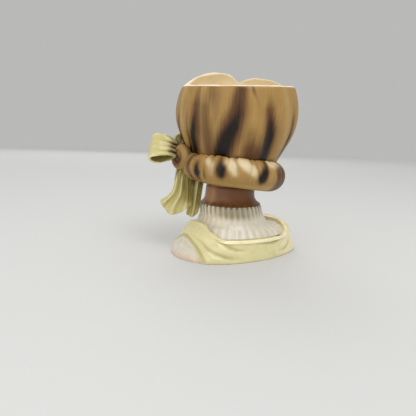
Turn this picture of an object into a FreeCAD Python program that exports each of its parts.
import FreeCAD, Part

import math
import os

import Sketcher

from FreeCAD import Placement, Rotation, Vector

# Head planter: a lady's head vase, slip-cast in earthenware, painted and glazed.
# Millimetres. Z is up. The base stands on Z = 0 with its centre at the origin, the bust
# faces -Y, and +X is the lady's left. The head has a frame of its own, turned and tilted
# on the neck: there +X is her left, +Y the back of her head and Z the height.

SIZES = [
    ("wall", 4.0, "thickness of the cast wall"),
    ("overrun", 3.0, "how far a cutting form runs past what it cuts"),
    ("reach", 160.0, "length of the cutting blocks, more than the whole figure"),
    ("bust_half_length", 68.0, "half the bust from shoulder to shoulder"),
    ("bust_half_depth", 44.6, "half the bust from chest to back"),
    ("bust_height", 30.5, "height of the bust where the collar closes it"),
    ("dress_relief", 1.7, "how far the dress stands out from the blouse"),
    ("hem_relief", 0.9, "how far the neckline hem stands out from the dress"),
    ("hem_width", 2.8, "width of the neckline hem"),
    ("neckline_half_width", 40.0, "half the scooped neckline from side to side"),
    ("neckline_left", 3.5, "how far the neckline's middle stands to her left"),
    ("neckline_height", 19.3, "height of the neckline's lowest stretch"),
    ("neckline_corner", 9.5, "radius of the neckline's lower corners"),
    ("armhole_out", 57.0, "distance of an armhole from the bust's middle, at the foot"),
    ("armhole_lean", 7.0, "outward lean of an armhole, in degrees"),
    ("collar_left", 7.0, "how far the collar stands to her left of the base centre"),
    ("collar_back", -1.0, "how far the collar stands behind the base centre"),
    ("neck_left", 8.3, "how far the neck stands to her left of the base centre"),
    ("neck_back", -2.3, "how far the neck stands behind the base centre"),
    ("neck_radius", 23.8, "outer radius of the neck"),
    ("neck_sink", 7.5, "how far the neck's lower end reaches down into the bust"),
    ("head_turn", 37.0, "turn of the head to her right, in degrees"),
    ("head_tilt", 2.2, "tilt of the head to her right, in degrees"),
    ("neck_length", 34.5, "length of the neck from the bust to the head's floor, under jaw and nape"),
    ("collar_radius", 30.2, "outer radius of the standing collar"),
    ("collar_sink", 6.5, "how far the collar's flare reaches down under the top of the bust"),
    ("collar_rise", 16.0, "rise of the collar's upper edge above the bust"),
    ("collar_flare", 7.6, "how much the collar widens at its foot"),
    ("collar_drift", 4.4, "how far the collar's foot drifts to her right"),
    ("rib_relief", 0.9, "depth of the grooves between the collar's ribs"),
    ("hair_half_width", 56.0, "half the hair at its widest"),
    ("hair_half_depth", 50.0, "half the hair from front to back"),
    ("hair_height", 113.0, "height of the hair above the head's floor"),
    ("lock_relief", 0.8, "depth of the furrows between the locks"),
    ("rim_height", 89.2, "height of the rim at the sides, above the head's floor"),
    ("rim_slope", 8.4, "fall of the rim towards the back, in degrees"),
    ("rim_cant", 2.5, "fall of the rim towards her left, in degrees"),
    ("rim_half_width", 51.0, "half the mouth of the vessel at the sides"),
    ("wave_notch", 101.0, "height of the notch between the two front waves, above the floor"),
    ("wave_left_peak", 108.6, "height of the left front wave, above the floor"),
    ("wave_left_out", 25.0, "distance of the left wave's crest from the parting"),
    ("wave_left_side", 98.0, "height of the left wave's arc at the rim's side, above the floor"),
    ("wave_left_rise", 32.0, "rise of the left wave's edge from the rim, in degrees"),
    ("wave_right_peak", 105.6, "height of the right front wave, above the floor"),
    ("wave_right_out", 15.0, "distance of the right wave's crest from the parting"),
    ("wave_right_side", 84.0, "height of the right wave's arc at the rim's side, above the floor"),
    ("face_height", 78.0, "chin to hairline"),
    ("face_half_width", 42.0, "half the head at the cheeks, under the hair"),
    ("face_depth", 46.0, "head's axis to the plane of the face"),
    ("window_half_width", 31.0, "half the face that the hair leaves open"),
    ("window_start", 6.0, "distance of the hair's front edge from the head's axis"),
    ("jaw_line", 19.0, "height of the face window's lower corners, above the floor"),
    ("ear_line", 35.0, "height where the side hair starts to sweep back, above the floor"),
    ("sweep_low", 11.0, "height where the side hair's edge reaches the nape, above the floor"),
    ("sweep_reach", 24.0, "how far the side hair sweeps back on that way"),
    ("roll_inset", 19.0, "how far the hair roll's centre line lies inside the hair's widest part"),
    ("roll_thickness", 28.6, "thickness of the hair roll at its fuller right end"),
    ("roll_end_drop", 2.5, "how far the fuller right end hangs under the roll"),
    ("roll_droop", 1.8, "fall of the roll towards her right, in degrees"),
    ("roll_height", 14.5, "height of the roll's centre line above the floor"),
    ("roll_left_end", 24.0, "where the roll starts behind her left ear, in degrees"),
    ("roll_right_end", 166.0, "where the roll ends behind her right ear, in degrees"),
    ("curl_out", 7.1, "how far the side curl's middle stands out from the side of the hair"),
    ("curl_back", 15.0, "place of the side curl behind the ear line"),
    ("curl_height", 22.3, "height of the side curl above the floor"),
    ("curl_radius", 7.4, "radius of the side curl's coil"),
    ("curl_thickness", 9.6, "thickness of the side curl's coil"),
    ("bow_out", 4.0, "how far the knot's middle stands out from the side of the hair"),
    ("bow_back", 3.0, "place of the bow's knot behind the ear line"),
    ("bow_rise", 14.7, "rise of the bow's knot above the side curl"),
    ("knot_half_width", 6.5, "half the knot along the loops"),
    ("knot_half_height", 8.0, "half the knot's height"),
    ("ribbon_thickness", 2.6, "thickness of the moulded ribbon"),
    ("loop_length", 25.2, "length of a bow loop from the knot outwards"),
    ("loop_depth", 17.0, "opening of a bow loop across"),
    ("loop_width", 26.0, "width of the ribbon that forms a loop"),
    ("loop_lean", 38.0, "lean of each loop away from the knot's middle, in degrees"),
    ("loop_spread", 13.0, "distance of a loop's middle from the knot's middle"),
    ("loop_drop", 8.0, "how far a loop's middle hangs under the knot's"),
    ("long_tail_length", 47.5, "length of the long ribbon tail, to its tip"),
    ("long_tail_width", 31.0, "width of the long tail at its cut end"),
    ("short_tail_length", 37.7, "length of the short ribbon tail, to its tip"),
    ("short_tail_width", 12.5, "width of the short tail at its cut end"),
    ("fold_relief", 1.8, "depth of the folds in the ribbon tails"),
]

RIB_COUNT = 36
RIB_POINTS = 4
LOCK_COUNT = 11
RING_POINTS = 44
LOCK_SWEEP = 0.9
LOOP_POINTS = 24
LOOP_TAPER_SHARE = 0.28
FOLD_POINTS = 3
FACE_JOIN_SHARE = 0.0001
FACE_SEW_SHARE = 0.00005
TEMPLE_DROP_SHARE = 0.14
TEMPLE_SHARE = 0.78
CHEEK_SWELL_SHARE = 1.08

# Height, half length and half depth of the bust, and how far that section stands to her
# left as a share of the half length, from the foot up: her left shoulder slopes more.
BUST_SHARES = [
    (0.00, 0.975, 0.985, 0.000),
    (0.13, 0.965, 0.985, 0.000),
    (0.37, 0.890, 0.960, -0.024),
    (0.53, 0.840, 0.935, -0.043),
    (0.69, 0.775, 0.890, -0.058),
    (0.84, 0.695, 0.820, -0.040),
    (0.93, 0.610, 0.745, 0.000),
    (1.00, 0.440, 0.620, 0.090),
]
OVAL_END_SHARE = 0.88

# Height and widening of the collar, from the foot up.
COLLAR_SHARES = [
    (0.00, 1.00),
    (0.20, 0.76),
    (0.42, 0.34),
    (0.66, 0.07),
    (0.88, 0.00),
    (1.00, -0.20),
]
FLARE_DEPTH_SHARE = 0.75

# Height above the head's floor, width and depth of the hair.
HAIR_SHARES = [
    (0.000, 0.520, 0.560),
    (0.120, 0.650, 0.690),
    (0.235, 0.755, 0.790),
    (0.375, 0.900, 0.910),
    (0.540, 0.995, 0.990),
    (0.660, 0.985, 0.985),
    (0.780, 0.915, 0.940),
    (0.900, 0.810, 0.880),
    (1.060, 0.680, 0.780),
]
# Half width of the hollow and its depth behind and in front, at the same heights: the
# wall is even behind and over the forehead, and thicker between the face and its hair.
HOLLOW_SHARES = [
    (0.360, 0.420, 0.400),
    (0.420, 0.560, 0.520),
    (0.550, 0.690, 0.640),
    (0.730, 0.810, 0.700),
    (0.905, 0.890, 0.780),
    (0.895, 0.885, 0.810),
    (0.825, 0.840, 0.850),
    (0.720, 0.780, 0.790),
    (0.590, 0.680, 0.690),
]

# Height above the chin, half width and depth of the bare head under the hair, and how
# pointed its outline is in front: 1 is an ellipse.
FACE_SHARES = [
    (0.000, 0.600, 0.86, 1.12),
    (0.040, 0.615, 0.90, 1.10),
    (0.090, 0.635, 0.93, 1.08),
    (0.150, 0.665, 0.95, 1.04),
    (0.220, 0.710, 0.97, 1.00),
    (0.330, 0.790, 0.98, 0.92),
    (0.450, 0.870, 1.00, 0.86),
    (0.600, 0.940, 1.00, 0.82),
    (0.720, 0.980, 1.03, 0.80),
    (0.850, 0.980, 1.03, 0.78),
    (1.080, 0.930, 0.96, 0.76),
]
# Soft swellings and hollows of the face: place across and up, spread across and up,
# and height, all as shares of the face's height. One with a place across is paired.
FACE_SWELLING_SHARES = {
    "nose_ridge": (0.0, 0.500, 0.050, 0.110, 0.060),
    "nose_tip": (0.0, 0.375, 0.058, 0.048, 0.092),
    "nostril": (0.062, 0.350, 0.032, 0.030, 0.030),
    "eye_socket": (0.190, 0.590, 0.105, 0.060, -0.045),
    "eyelid": (0.190, 0.575, 0.072, 0.042, 0.040),
    "brow": (0.200, 0.680, 0.130, 0.035, 0.012),
    "cheek": (0.260, 0.400, 0.120, 0.110, 0.020),
    "upper_lip": (0.040, 0.245, 0.070, 0.030, 0.020),
    "lower_lip": (0.0, 0.190, 0.085, 0.034, 0.026),
    "lip_hollow": (0.0, 0.130, 0.110, 0.034, -0.008),
    "chin": (0.0, 0.075, 0.150, 0.070, 0.028),
}
FACE_ROWS = 34
FACE_COLUMNS = 41

# Scale of a bow loop along the ribbon's width, with its lengthwise creases.
LOOP_CREASE_SHARES = [(0.0, 0.93), (0.2, 1.0), (0.4, 0.94), (0.6, 1.0), (0.8, 0.95), (1.0, 1.03)]

# Ribbon tails: how far down the tail, how far out to her left, and width.
LONG_TAIL_SHARES = [
    (0.00, -0.060, 0.30),
    (0.31, -0.015, 0.49),
    (0.55, 0.005, 0.66),
    (0.72, 0.080, 0.95),
    (1.00, 0.170, 1.25),
]
SHORT_TAIL_SHARES = [
    (0.00, -0.03, 0.95),
    (0.35, 0.00, 0.85),
    (0.70, 0.03, 0.87),
    (1.00, 0.08, 1.05),
]
# Cut end of each tail: how far down its inner corner, its tip and its outer corner are.
LONG_END_SHARES = (0.71, 1.00, 0.72)
SHORT_END_SHARES = (0.77, 1.00, 0.92)

# Hair roll: place along the roll and thickness, from the left end to the right.
ROLL_SHARES = [(0.0, 0.90), (0.2, 0.90), (0.4, 0.905), (0.6, 0.93), (0.8, 0.97), (0.9, 0.99), (1.0, 1.0)]

doc = FreeCAD.newDocument("HeadPlanter")
sheet = doc.addObject("Spreadsheet::Sheet", "Sizes")
for row, (alias, value, note) in enumerate(SIZES, start=1):
    sheet.set("A%d" % row, alias)
    sheet.set("B%d" % row, str(value))
    sheet.set("C%d" % row, note)
    sheet.setAlias("B%d" % row, alias)
doc.recompute()


def size(alias):
    """A driving dimension from the sheet."""
    return float(sheet.get(alias))


WALL = size("wall")
HEAD_FLOOR = size("bust_height") + size("neck_length")
NECK_FOOT = size("bust_height") - size("neck_sink")
NECK_AT = Vector(size("neck_left"), size("neck_back"), 0)
COLLAR_AT = Vector(size("collar_left"), size("collar_back"), 0)


def head_placement():
    """Turns the head about the neck and tilts it over the bust."""
    pivot = Vector(0, 0, size("bust_height"))
    turn = Rotation(Vector(0, 0, 1), -size("head_turn"))
    tilt = Rotation(Vector(0, 1, 0), -size("head_tilt"))
    lean = Placement(pivot, tilt) * Placement(-pivot, Rotation())
    return Placement(NECK_AT, turn) * lean


HEAD = head_placement()


def form(name, shape, placement=Placement()):
    """A sculpted form that the document holds as a plain shape."""
    feature = doc.addObject("Part::Feature", name)
    feature.Shape = shape
    feature.Placement = placement
    return feature


def boolean(kind, name, base, tool):
    """Part::Cut or Part::Common of two document objects."""
    feature = doc.addObject(kind, name)
    feature.Base = base
    feature.Tool = tool
    doc.recompute()
    return feature


def cut(name, base, *tools):
    """The base with every tool taken away in turn."""
    for number, tool in enumerate(tools):
        last = number == len(tools) - 1
        base = boolean("Part::Cut", name if last else "%s_cut_%d" % (name, number), base, tool)
    return base


def common(name, base, tool):
    """What the base and the tool share."""
    return boolean("Part::Common", name, base, tool)


def bind(feature, **expressions):
    """Binds properties of a document object to cells of the sheet."""
    for path, expression in expressions.items():
        feature.setExpression(path.replace("__", "."), expression)
    doc.recompute()


def block(name, low, high, placement=Placement()):
    """A cutting block between two corners."""
    box = doc.addObject("Part::Box", name)
    box.Length, box.Width, box.Height = high.x - low.x, high.y - low.y, high.z - low.z
    box.Placement = placement * Placement(low, Rotation())
    return box


def oval_wire(half_length, half_depth, height, centre):
    """A four-arc oval: two arcs round the shoulders, two along chest and back."""
    end_radius = OVAL_END_SHARE * half_depth
    end_middle = half_length - end_radius
    side_radius = (end_middle**2 + half_depth**2 - end_radius**2) / (2 * (half_depth - end_radius))
    side_middle = half_depth - side_radius
    run = math.hypot(end_middle, side_middle)
    join_x = side_radius * end_middle / run
    join_y = side_middle - side_radius * side_middle / run
    outline = [
        (join_x, -join_y), (half_length, 0), (join_x, join_y), (0, half_depth),
        (-join_x, join_y), (-half_length, 0), (-join_x, -join_y), (0, -half_depth),
        (join_x, -join_y),
    ]
    points = [Vector(centre.x + x, centre.y + y, height) for x, y in outline]
    arcs = [Part.Arc(*points[start:start + 3]).toShape() for start in (0, 2, 4, 6)]
    return Part.Wire(arcs)


def ring_wire(radii, height):
    """A closed smooth curve through points at evenly spaced angles, from their radii."""
    count = len(radii)
    points = []
    for number, (across, along) in enumerate(radii):
        angle = 2 * math.pi * number / count
        points.append(Vector(across * math.cos(angle), along * math.sin(angle), height))
    curve = Part.BSplineCurve()
    curve.interpolate(Points=points, PeriodicFlag=True, Parameters=[float(n) for n in range(count + 1)])
    return Part.Wire([curve.toShape()])


def bust_form(name, grow, low):
    """The low mound of shoulders and chest, grown outwards by a thickness."""
    wires = []
    for height_share, length_share, depth_share, left_share in BUST_SHARES:
        height = low + height_share * (size("bust_height") + grow - low)
        centre = Vector(size("bust_half_length") * left_share, 0, 0)
        half_length = size("bust_half_length") * length_share + grow
        half_depth = size("bust_half_depth") * depth_share + grow
        wires.append(oval_wire(half_length, half_depth, height, centre))
    return form(name, Part.makeLoft(wires, True))


def closed_sketch(body, name, role, corners):
    """A sketch of straight lines joined end to end on one of a body's origin planes."""
    sketch = body.newObject("Sketcher::SketchObject", name)
    plane = [item for item in body.Origin.OriginFeatures if item.Role == role][0]
    sketch.AttachmentSupport = [(plane, "")]
    sketch.MapMode = "FlatFace"
    for number, corner in enumerate(corners):
        following = corners[(number + 1) % len(corners)]
        sketch.addGeometry(Part.LineSegment(Vector(*corner, 0), Vector(*following, 0)), False)
    for number in range(len(corners)):
        following = (number + 1) % len(corners)
        sketch.addConstraint(Sketcher.Constraint("Coincident", number, 2, following, 1))
        upright = number % 2 == 1
        sketch.addConstraint(Sketcher.Constraint("Vertical" if upright else "Horizontal", number))
    return sketch


def distance(sketch, kind, line, point, value, expression):
    """A driving distance of a sketch point from the origin, bound to the sheet."""
    number = sketch.addConstraint(Sketcher.Constraint(kind, -1, 1, line, point, value))
    sketch.setExpression("Constraints[%d]" % number, expression)


def neck_tube(name, inner, inner_cell, outer, outer_cell):
    """A tube round the neck's axis, turned from its half section."""
    body = doc.addObject("PartDesign::Body", name)
    corners = [(inner, NECK_FOOT), (outer, NECK_FOOT), (outer, HEAD_FLOOR), (inner, HEAD_FLOOR)]
    sketch = closed_sketch(body, name + "_section", "XZ_Plane", corners)
    distance(sketch, "DistanceX", 0, 1, inner, inner_cell)
    distance(sketch, "DistanceX", 0, 2, outer, outer_cell)
    distance(sketch, "DistanceY", 0, 1, NECK_FOOT, "Sizes.bust_height - Sizes.neck_sink")
    distance(sketch, "DistanceY", 2, 1, HEAD_FLOOR, "Sizes.bust_height + Sizes.neck_length")
    turned = body.newObject("PartDesign::Revolution", name + "_turned")
    turned.Profile = sketch
    turned.ReferenceAxis = (sketch, ["V_Axis"])
    turned.Angle = 360
    body.Tip = turned
    body.Placement = HEAD
    doc.recompute()
    return body


def neck_core(name, radius, foot, top):
    """A solid cylinder on the neck's axis."""
    core = doc.addObject("Part::Cylinder", name)
    core.Radius = radius
    core.Height = top - foot
    core.Placement = HEAD * Placement(Vector(0, 0, foot), Rotation())
    return core


def base_plate():
    """The flat bottom that closes the bust, its outline drawn like the bust's foot."""
    body = doc.addObject("PartDesign::Body", "base_plate")
    sketch = body.newObject("Sketcher::SketchObject", "base_outline")
    plane = [item for item in body.Origin.OriginFeatures if item.Role == "XY_Plane"][0]
    sketch.AttachmentSupport = [(plane, "")]
    sketch.MapMode = "FlatFace"
    length_share, depth_share = BUST_SHARES[0][1:3]
    half_length = size("bust_half_length") * length_share - WALL
    half_depth = size("bust_half_depth") * depth_share - WALL
    for edge in oval_wire(half_length, half_depth, 0, Vector()).Edges:
        arc = edge.Curve
        sketch.addGeometry(Part.ArcOfCircle(arc, edge.FirstParameter, edge.LastParameter), False)
    for number in range(4):
        sketch.addConstraint(Sketcher.Constraint("Coincident", number, 2, (number + 1) % 4, 1))
    pad = body.newObject("PartDesign::Pad", "base_thickness")
    pad.Profile = sketch
    bind(pad, Length="Sizes.wall")
    body.Tip = pad
    doc.recompute()
    return body


def collar_form():
    """The ribbed standing collar: its ribs run up the flare and scallop the upper edge."""
    foot = size("bust_height") - size("collar_sink")
    top = size("bust_height") + size("collar_rise")
    count = RIB_COUNT * RIB_POINTS
    wires = []
    for height_share, flare_share in COLLAR_SHARES:
        height = foot + (top - foot) * height_share
        across = size("collar_radius") + size("collar_flare") * flare_share
        along = size("collar_radius") + size("collar_flare") * FLARE_DEPTH_SHARE * flare_share
        radii = []
        for number in range(count):
            furrow = size("rib_relief") * (0.5 - 0.5 * math.cos(2 * math.pi * number / RIB_POINTS))
            radii.append((across - furrow, along - furrow))
        wire = ring_wire(radii, height)
        wire.translate(Vector(-size("collar_drift") * (1 - height_share), 0, 0))
        wires.append(wire)
    placement = Placement(COLLAR_AT, Rotation())
    return form("collar_form", Part.makeLoft(wires, True), placement)


def hair_form():
    """The outside of the swept-up hair, with its locks turning as they rise."""
    wires = []
    for height_share, width_share, depth_share in HAIR_SHARES:
        height = HEAD_FLOOR + size("hair_height") * height_share
        half_width = size("hair_half_width") * width_share
        half_depth = size("hair_half_depth") * depth_share
        radii = []
        for number in range(RING_POINTS):
            angle = 2 * math.pi * number / RING_POINTS
            lock = math.cos(LOCK_COUNT * (angle + LOCK_SWEEP * height_share))
            relief = size("lock_relief") * lock
            radii.append((half_width + relief, half_depth + relief))
        wires.append(ring_wire(radii, height))
    return form("hair_form", Part.makeLoft(wires, True), HEAD)


def hollow_form():
    """The hollow inside the head, which opens at the top as the planter's bowl."""
    foot = HEAD_FLOOR + WALL
    wires = []
    for hair_shares, hollow_shares in zip(HAIR_SHARES, HOLLOW_SHARES):
        height = foot + (size("hair_height") + size("overrun") - WALL) * hair_shares[0]
        half_width = size("hair_half_width") * hollow_shares[0]
        back_depth = size("hair_half_depth") * hollow_shares[1]
        front_depth = size("hair_half_depth") * hollow_shares[2]
        radii = []
        for number in range(RING_POINTS):
            behind = number <= RING_POINTS // 2
            radii.append((half_width, back_depth if behind else front_depth))
        wires.append(ring_wire(radii, height))
    return form("hollow_form", Part.makeLoft(wires, True), HEAD)


def hair_side(height):
    """How far the side of the hair lies from the head's axis at a height."""
    share = (height - HEAD_FLOOR) / size("hair_height")
    return size("hair_half_width") * table_value(HAIR_SHARES, share, 1)


def table_value(rows, share, column):
    """Smooth value of a table's column at a share of its height."""
    for lower, upper in zip(rows, rows[1:]):
        if share <= upper[0]:
            part = (share - lower[0]) / (upper[0] - lower[0])
            return lower[column] + (upper[column] - lower[column]) * part
    return rows[-1][column]


def face_swelling(across, up):
    """Sum of the face's soft swellings at a place, all in shares of the face's height."""
    total = 0.0
    for place, height, spread_across, spread_up, relief in FACE_SWELLING_SHARES.values():
        for side in ((-1, 1) if place else (1,)):
            distance_across = (across - side * place) / spread_across
            distance_up = (up - height) / spread_up
            total += relief * math.exp(-(distance_across**2) - distance_up**2)
    return total


def face_form():
    """The bare head in front of its axis, as one smooth skin closed by flat faces."""
    face_height = size("face_height")
    grid = []
    last_share = FACE_SHARES[-1][0]
    for row in range(FACE_ROWS):
        share = last_share * row / (FACE_ROWS - 1)
        half_width = size("face_half_width") * table_value(FACE_SHARES, share, 1)
        depth = size("face_depth") * table_value(FACE_SHARES, share, 2)
        pointed = table_value(FACE_SHARES, share, 3)
        line = []
        for column in range(FACE_COLUMNS):
            angle = math.pi * (column / (FACE_COLUMNS - 1) - 0.5)
            across = half_width * math.sin(angle)
            front = 0.0
            if 0 < column < FACE_COLUMNS - 1:
                front = depth * math.cos(angle) ** pointed
                front += face_height * face_swelling(across / face_height, share)
            line.append(Vector(across, -front, HEAD_FLOOR + face_height * share))
        grid.append(line)
    skin = Part.BSplineSurface()
    skin.interpolate(grid)
    front_face = skin.toShape()
    bottom, top = grid[0], grid[-1]
    edges = front_face.Edges

    def near(edge, point):
        gaps = [vertex.Point.distanceToPoint(point) for vertex in edge.Vertexes]
        return min(gaps) < FACE_JOIN_SHARE * face_height

    bottom_edge = [edge for edge in edges if near(edge, bottom[0]) and near(edge, bottom[-1])][0]
    top_edge = [edge for edge in edges if near(edge, top[0]) and near(edge, top[-1])][0]
    left_edge = [edge for edge in edges if near(edge, bottom[0]) and near(edge, top[0])][0]
    right_edge = [edge for edge in edges if near(edge, bottom[-1]) and near(edge, top[-1])][0]
    bottom_line = Part.LineSegment(bottom[0], bottom[-1]).toShape()
    top_line = Part.LineSegment(top[0], top[-1]).toShape()
    faces = [
        front_face,
        Part.Face(Part.Wire([bottom_edge, bottom_line])),
        Part.Face(Part.Wire([top_edge, top_line])),
        Part.Face(Part.Wire(Part.sortEdges([left_edge, top_line, right_edge, bottom_line])[0])),
    ]
    shell = Part.Shell(faces)
    shell.sewShape()
    solid = Part.Solid(shell)
    solid.fix(FACE_SEW_SHARE * face_height, FACE_SEW_SHARE * face_height, FACE_SEW_SHARE * face_height)
    return form("face_form", solid, HEAD)


def face_window():
    """The opening that the hair leaves for face, jaw and throat, seen from in front."""
    half = size("window_half_width")
    jaw = HEAD_FLOOR + size("jaw_line")
    hairline = HEAD_FLOOR + size("face_height")
    temple = hairline - TEMPLE_DROP_SHARE * size("face_height")
    cheek = (temple + jaw) / 2
    swell = half * CHEEK_SWELL_SHARE
    temple_out = half * TEMPLE_SHARE
    front = -size("reach") / 2
    start = -size("window_start")

    def at(across, height):
        return Vector(across, front, height)

    edges = [
        Part.LineSegment(at(-half, jaw), at(half, jaw)).toShape(),
        Part.Arc(at(half, jaw), at(swell, cheek), at(temple_out, temple)).toShape(),
        Part.Arc(at(temple_out, temple), at(0, hairline), at(-temple_out, temple)).toShape(),
        Part.Arc(at(-temple_out, temple), at(-swell, cheek), at(-half, jaw)).toShape(),
    ]
    profile = Part.Face(Part.Wire(edges))
    front_window = form("front_window", profile.extrude(Vector(0, start - front, 0)), HEAD)

    low = HEAD_FLOOR - size("overrun")
    ear_line = HEAD_FLOOR + size("ear_line")
    sweep = [
        (front, low), (start, low), (start, HEAD_FLOOR + size("sweep_low")),
        (start - size("sweep_reach"), ear_line), (front, ear_line), (front, low),
    ]
    outline = Part.makePolygon([Vector(front, back, height) for back, height in sweep])
    jaw_window = form("jaw_window", Part.Face(outline).extrude(Vector(-2 * front, 0, 0)), HEAD)
    fused = doc.addObject("Part::Fuse", "face_window")
    fused.Base, fused.Tool = front_window, jaw_window
    doc.recompute()
    return fused


def wave_block(name, side, peak, out, outer):
    """What lies over the arc of one front wave of hair, seen from in front."""
    reach = size("reach")
    front = -reach / 2
    notch, edge = size("wave_notch"), size("rim_half_width")

    def at(across, height):
        return Vector(side * across, front, HEAD_FLOOR + height)

    edges = [Part.Arc(at(0, notch), at(out, peak), at(edge, outer)).toShape()]
    corners = [(edge, outer), (reach, outer), (reach, outer + reach), (0, outer + reach), (0, notch)]
    for start, end in zip(corners, corners[1:]):
        edges.append(Part.LineSegment(at(*start), at(*end)).toShape())
    profile = Part.Face(Part.Wire(edges))
    return form(name, profile.extrude(Vector(0, -front, 0)), HEAD)


def roll_radius():
    """Radius of the hair roll's centre line round the nape."""
    return size("hair_half_width") - size("roll_inset")


def hair_roll_form():
    """The thick roll of hair round the nape, fuller and lower towards its right end."""
    start, end = size("roll_left_end"), size("roll_right_end")
    droop = Rotation(Vector(0, 1, 0), -size("roll_droop"))
    lift = HEAD * Placement(Vector(0, 0, HEAD_FLOOR + size("roll_height")), droop)
    wires = []
    rounds = []
    for along_share, thickness_share in ROLL_SHARES:
        ring = Part.makeCircle(size("roll_thickness") / 2 * thickness_share, Vector(), Vector(0, 1, 0))
        middle = Vector(roll_radius(), 0, -size("roll_end_drop") * along_share**2)
        turn = Rotation(Vector(0, 0, 1), start + (end - start) * along_share)
        place = Placement(Vector(), turn) * Placement(middle, Rotation())
        ring.Placement = place
        wires.append(Part.Wire([ring]))
        rounds.append((place, thickness_share))
    parts = [form("roll_length", Part.makeLoft(wires, True), lift)]
    ends = {"roll_left_round": rounds[0], "roll_right_round": rounds[-1]}
    for name, (place, thickness_share) in ends.items():
        ball = doc.addObject("Part::Sphere", name)
        ball.Placement = lift * place
        bind(ball, Radius="Sizes.roll_thickness / 2 * %s" % thickness_share)
        parts.append(ball)
    fused = doc.addObject("Part::MultiFuse", "roll_form")
    fused.Shapes = parts
    doc.recompute()
    return fused


def curl_middle():
    """Place of the side curl in the head's frame."""
    height = HEAD_FLOOR + size("curl_height")
    return Vector(hair_side(height) + size("curl_out"), size("curl_back"), height)


def curl_form():
    """The coil that ends the roll at her left, its hollow turned half backwards."""
    ring = doc.addObject("Part::Torus", "curl_form")
    facing = Rotation(Vector(0, 0, 1), Vector(1, 1, 0))
    ring.Placement = HEAD * Placement(curl_middle(), facing)
    bind(ring, Radius1="Sizes.curl_radius", Radius2="Sizes.curl_thickness / 2")
    return ring


def knot_form():
    """The bow's knot, a soft pillow on the side of the hair."""
    knot = doc.addObject("Part::Ellipsoid", "knot_form")
    knot.Placement = HEAD * Placement(bow_middle(), Rotation())
    bind(knot, Radius1="Sizes.knot_half_height", Radius2="Sizes.knot_half_width")
    bind(knot, Radius3="Sizes.knot_half_width")
    return knot


def bow_middle():
    """Place of the bow's knot in the head's frame."""
    height = curl_middle().z + size("bow_rise")
    return Vector(hair_side(height) + size("bow_out"), size("bow_back"), height)


def loop_outline(length, depth, height, scale):
    """Teardrop section of a bow loop: wide outside, narrow at the knot."""
    points = []
    for number in range(LOOP_POINTS):
        angle = 2 * math.pi * number / LOOP_POINTS
        taper = 1 - LOOP_TAPER_SHARE * (1 - math.cos(angle))
        along = length / 2 * math.cos(angle)
        across = depth / 2 * math.sin(angle) * taper * scale
        points.append(Vector(along, across, height))
    curve = Part.BSplineCurve()
    count = range(LOOP_POINTS + 1)
    curve.interpolate(Points=points, PeriodicFlag=True, Parameters=[float(number) for number in count])
    return Part.Wire([curve.toShape()])


def loop_form(name, side, thinner, overrun):
    """One bow loop as a leaning tube of ribbon: side 1 lies behind, -1 in front."""
    length = size("loop_length") - 2 * thinner
    depth = size("loop_depth") - 2 * thinner
    width = size("loop_width")
    wires = []
    for share, scale in LOOP_CREASE_SHARES:
        height = -(width / 2 + overrun) + (width + 2 * overrun) * share
        wires.append(loop_outline(length, depth, height, scale))
    drop = Vector(size("loop_length") / 2, side * size("loop_spread"), -size("loop_drop"))
    lean = Rotation(Vector(1, 0, 0), side * size("loop_lean"))
    placement = HEAD * Placement(bow_middle() + drop, lean)
    return form(name, Part.makeLoft(wires, True), placement)


def tail_form(name, top, length, width, shares, folds):
    """A hanging ribbon tail, folded across its width and fanning out downwards."""
    thickness = size("ribbon_thickness")
    wires = []
    for down_share, out_share, width_share in shares:
        middle = top + Vector(length * out_share, 0, -length * down_share)
        half = width * width_share / 2
        front, back = [], []
        for number in range(2 * folds * FOLD_POINTS + 1):
            part = number / (folds * FOLD_POINTS) - 1
            wave = size("fold_relief") * math.cos(math.pi * folds * part)
            place = middle + Vector(half * part, wave, 0)
            front.append(place - Vector(0, thickness / 2, 0))
            back.append(place + Vector(0, thickness / 2, 0))
        front_curve = Part.BSplineCurve()
        front_curve.interpolate(front)
        back_curve = Part.BSplineCurve()
        back_curve.interpolate(back)
        wires.append(Part.Wire([
            front_curve.toShape(),
            Part.LineSegment(front[-1], back[-1]).toShape(),
            back_curve.toShape(),
            Part.LineSegment(back[0], front[0]).toShape(),
        ]))
    return form(name, Part.makeLoft(wires, True), HEAD)


def tail_end(name, top, length, width, out_share, end_shares):
    """What lies under a tail's cut end, an arc from its inner corner round its tip."""
    inner, tip, outer = [-length * share for share in end_shares]
    middle = top.x + length * out_share
    front = top.y - size("overrun") - size("fold_relief") - size("ribbon_thickness")
    depth = 2 * (top.y - front)
    under = -length - 2 * size("overrun")

    def at(across, height):
        return Vector(middle + across, front, top.z + height)

    half = width / 2
    corners = [
        (half, outer), (width, outer), (width, under),
        (-width, under), (-width, inner), (-half, inner),
    ]
    edges = [Part.Arc(at(-half, inner), at(0, tip), at(half, outer)).toShape()]
    for start, end in zip(corners, corners[1:]):
        edges.append(Part.LineSegment(at(*start), at(*end)).toShape())
    return form(name, Part.Face(Part.Wire(edges)).extrude(Vector(0, depth, 0)), HEAD)


reach = size("reach")

# Bust: the blouse's yoke and sleeves and the dress over them are one cast wall
plate = base_plate()
blouse_form = bust_form("blouse_form", 0, 0)
dress_form = bust_form("dress_form", size("dress_relief"), 0)
hem_form = bust_form("hem_form", size("dress_relief") + size("hem_relief"), 0)
bust_hollow = bust_form("bust_hollow", -WALL, WALL)
neck_solid = neck_core("neck_solid", size("neck_radius"), NECK_FOOT, HEAD_FLOOR)


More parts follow.
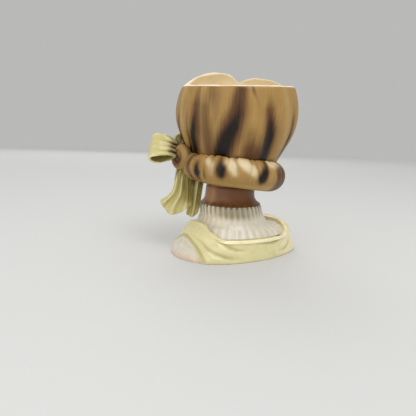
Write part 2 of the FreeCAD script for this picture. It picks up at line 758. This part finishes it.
def neckline(name, grow):
    """The scooped neckline's outline, seen from behind and in front, grown by a width."""
    half = size("neckline_half_width") + grow
    low = size("neckline_height") - grow
    corner = size("neckline_corner") + grow
    bend = corner * (1 - math.sqrt(0.5))

    def at(across, height):
        return Vector(size("neckline_left") + across, -reach / 2, height)

    edges = [
        Part.LineSegment(at(-half, reach), at(-half, low + corner)).toShape(),
        Part.Arc(at(-half, low + corner), at(bend - half, low + bend), at(corner - half, low)).toShape(),
        Part.LineSegment(at(corner - half, low), at(half - corner, low)).toShape(),
        Part.Arc(at(half - corner, low), at(half - bend, low + bend), at(half, low + corner)).toShape(),
        Part.LineSegment(at(half, low + corner), at(half, reach)).toShape(),
        Part.LineSegment(at(half, reach), at(-half, reach)).toShape(),
    ]
    return form(name, Part.Face(Part.Wire(edges)).extrude(Vector(0, reach, 0)))


def armhole(name, side):
    """What lies outside one armhole of the dress, cut by a leaning plane."""
    lean = Rotation(Vector(0, 1, 0), side * size("armhole_lean"))
    at_foot = Placement(Vector(side * size("armhole_out"), 0, 0), lean)
    low = Vector(min(0, side * reach), -reach, -reach)
    high = Vector(max(0, side * reach), reach, reach)
    return block(name, low, high, at_foot)


neckline_form = neckline("neckline_form", 0)
hem_outline = neckline("hem_outline", size("hem_width"))
armholes = [armhole("armhole_left", 1), armhole("armhole_right", -1)]

blouse_wall = cut("blouse_wall", blouse_form, bust_hollow, plate, neck_solid)
sleeves = []
for side_name, sleeve_hole in zip(("left", "right"), armholes):
    inside = common("sleeve_%s_wall" % side_name, blouse_wall, sleeve_hole)
    sleeves.append(cut("sleeve_" + side_name, inside, hem_outline))
yoke = common("blouse_yoke", blouse_wall, neckline_form)
dress_wall = cut("dress_wall", dress_form, bust_hollow, plate, neckline_form)
hem_ring = cut("hem_ring", common("hem_band", hem_form, hem_outline), neckline_form, dress_form)
hem = cut("neckline_hem", hem_ring, *armholes)
bodice = cut("dress_bodice", dress_wall, *armholes)

# Neck and collar
neck = neck_tube("neck", size("neck_radius") - WALL, "Sizes.neck_radius - Sizes.wall",
                 size("neck_radius"), "Sizes.neck_radius")
collar = cut("blouse_collar", collar_form(), neck_solid, blouse_form, bodice, hem)

# Head: hair and face round one hollow
hair = hair_form()
hollow = hollow_form()
passage = neck_core("neck_passage", size("neck_radius") - WALL,
                    HEAD_FLOOR - size("overrun"), HEAD_FLOOR + WALL + size("overrun"))
window = face_window()
hair_wall = cut("hair_wall", hair, hollow, passage, window)

behind = block("behind_parting", Vector(-reach, 0, 0), Vector(reach, reach, 2 * reach), HEAD)
left_front = block("left_of_parting", Vector(0, -reach, 0), Vector(reach, 0, 2 * reach), HEAD)
right_front = block("right_of_parting", Vector(-reach, -reach, 0), Vector(0, 0, 2 * reach), HEAD)
rim_turn = Rotation(Vector(0, 1, 0), size("rim_cant")) * Rotation(Vector(1, 0, 0), -size("rim_slope"))
rim_lean = Placement(Vector(0, 0, HEAD_FLOOR + size("rim_height")), rim_turn)
over_rim = block("over_rim", Vector(-reach, -reach, 0), Vector(reach, reach, reach), HEAD * rim_lean)
over_left_arc = wave_block("over_left_arc", 1, size("wave_left_peak"), size("wave_left_out"),
                           size("wave_left_side"))
over_right_arc = wave_block("over_right_arc", -1, size("wave_right_peak"), size("wave_right_out"),
                            size("wave_right_side"))
over_left_wave = common("over_left_wave", over_left_arc, over_rim)
over_right_wave = common("over_right_wave", over_right_arc, over_rim)
rise_turn = Rotation(Vector(0, 1, 0), size("rim_cant")) * Rotation(Vector(1, 0, 0), -size("wave_left_rise"))
rise_lean = Placement(Vector(0, 0, HEAD_FLOOR + size("rim_height")), rise_turn)
over_rise = block("over_rise", Vector(-reach, -reach, 0), Vector(reach, reach, reach), HEAD * rise_lean)

back_hair = cut("back_hair", common("back_wall", hair_wall, behind), over_rim)
front_left = cut("front_hair_left", common("left_wall", hair_wall, left_front), over_left_wave, over_rise)
front_right = cut("front_hair_right", common("right_wall", hair_wall, right_front), over_right_wave)
face = cut("face", common("face_in_window", face_form(), window), hollow, passage)

# Roll and curl at the nape
whole_roll = hair_roll_form()
whole_curl = curl_form()
roll = cut("hair_roll", whole_roll, hair, neck_solid)
curl = cut("hair_curl", whole_curl, whole_roll, hair)

# Ribbon bow at her left
whole_knot = knot_form()
knot = cut("bow_knot", whole_knot, hair, whole_curl)
loops = []
for loop_name, side in (("rear", 1), ("front", -1)):
    outer = loop_form("loop_%s_form" % loop_name, side, 0, 0)
    inner = loop_form("loop_%s_gap" % loop_name, side, size("ribbon_thickness"), size("overrun"))
    loops.append(cut("bow_loop_" + loop_name, outer, inner, hair, whole_knot, whole_curl))
long_top = Vector(curl_middle().x - size("ribbon_thickness") / 2, size("curl_back"),
                  HEAD_FLOOR + size("roll_height"))
short_top = Vector(roll_radius() - 2 * size("ribbon_thickness"), size("curl_back") / 2,
                   HEAD_FLOOR + size("overrun"))
long_sizes = (long_top, size("long_tail_length"), size("long_tail_width"))
short_sizes = (short_top, size("short_tail_length"), size("short_tail_width"))
long_tail = cut(
    "ribbon_tail_long", tail_form("long_tail_form", *long_sizes, LONG_TAIL_SHARES, 3),
    tail_end("long_tail_end", *long_sizes, LONG_TAIL_SHARES[-2][1], LONG_END_SHARES),
    hair, whole_roll, whole_curl,
)
short_tail = cut(
    "ribbon_tail_short", tail_form("short_tail_form", *short_sizes, SHORT_TAIL_SHARES, 2),
    tail_end("short_tail_end", *short_sizes, SHORT_TAIL_SHARES[-1][1], SHORT_END_SHARES),
    hair, whole_roll, collar, neck_solid,
)

NODES = [
    plate, yoke, *sleeves, bodice, hem, neck, collar, face, back_hair, front_left, front_right,
    roll, curl, knot, *loops, long_tail, short_tail,
]

doc.recompute()
for feature in doc.Objects:
    if "Invalid" in feature.State or "Error" in feature.State:
        raise RuntimeError("%s could not be built: %s" % (feature.Label, feature.State))
os.makedirs("parts", exist_ok=True)
for node in NODES:
    if node.Shape.isNull() or not node.Shape.isValid():
        raise RuntimeError("%s has no sound shape" % node.Label)
    print("%-20s solids %d volume %9.1f" % (node.Label, len(node.Shape.Solids), node.Shape.Volume))
    node.Shape.exportStep("parts/%s.step" % node.Label)
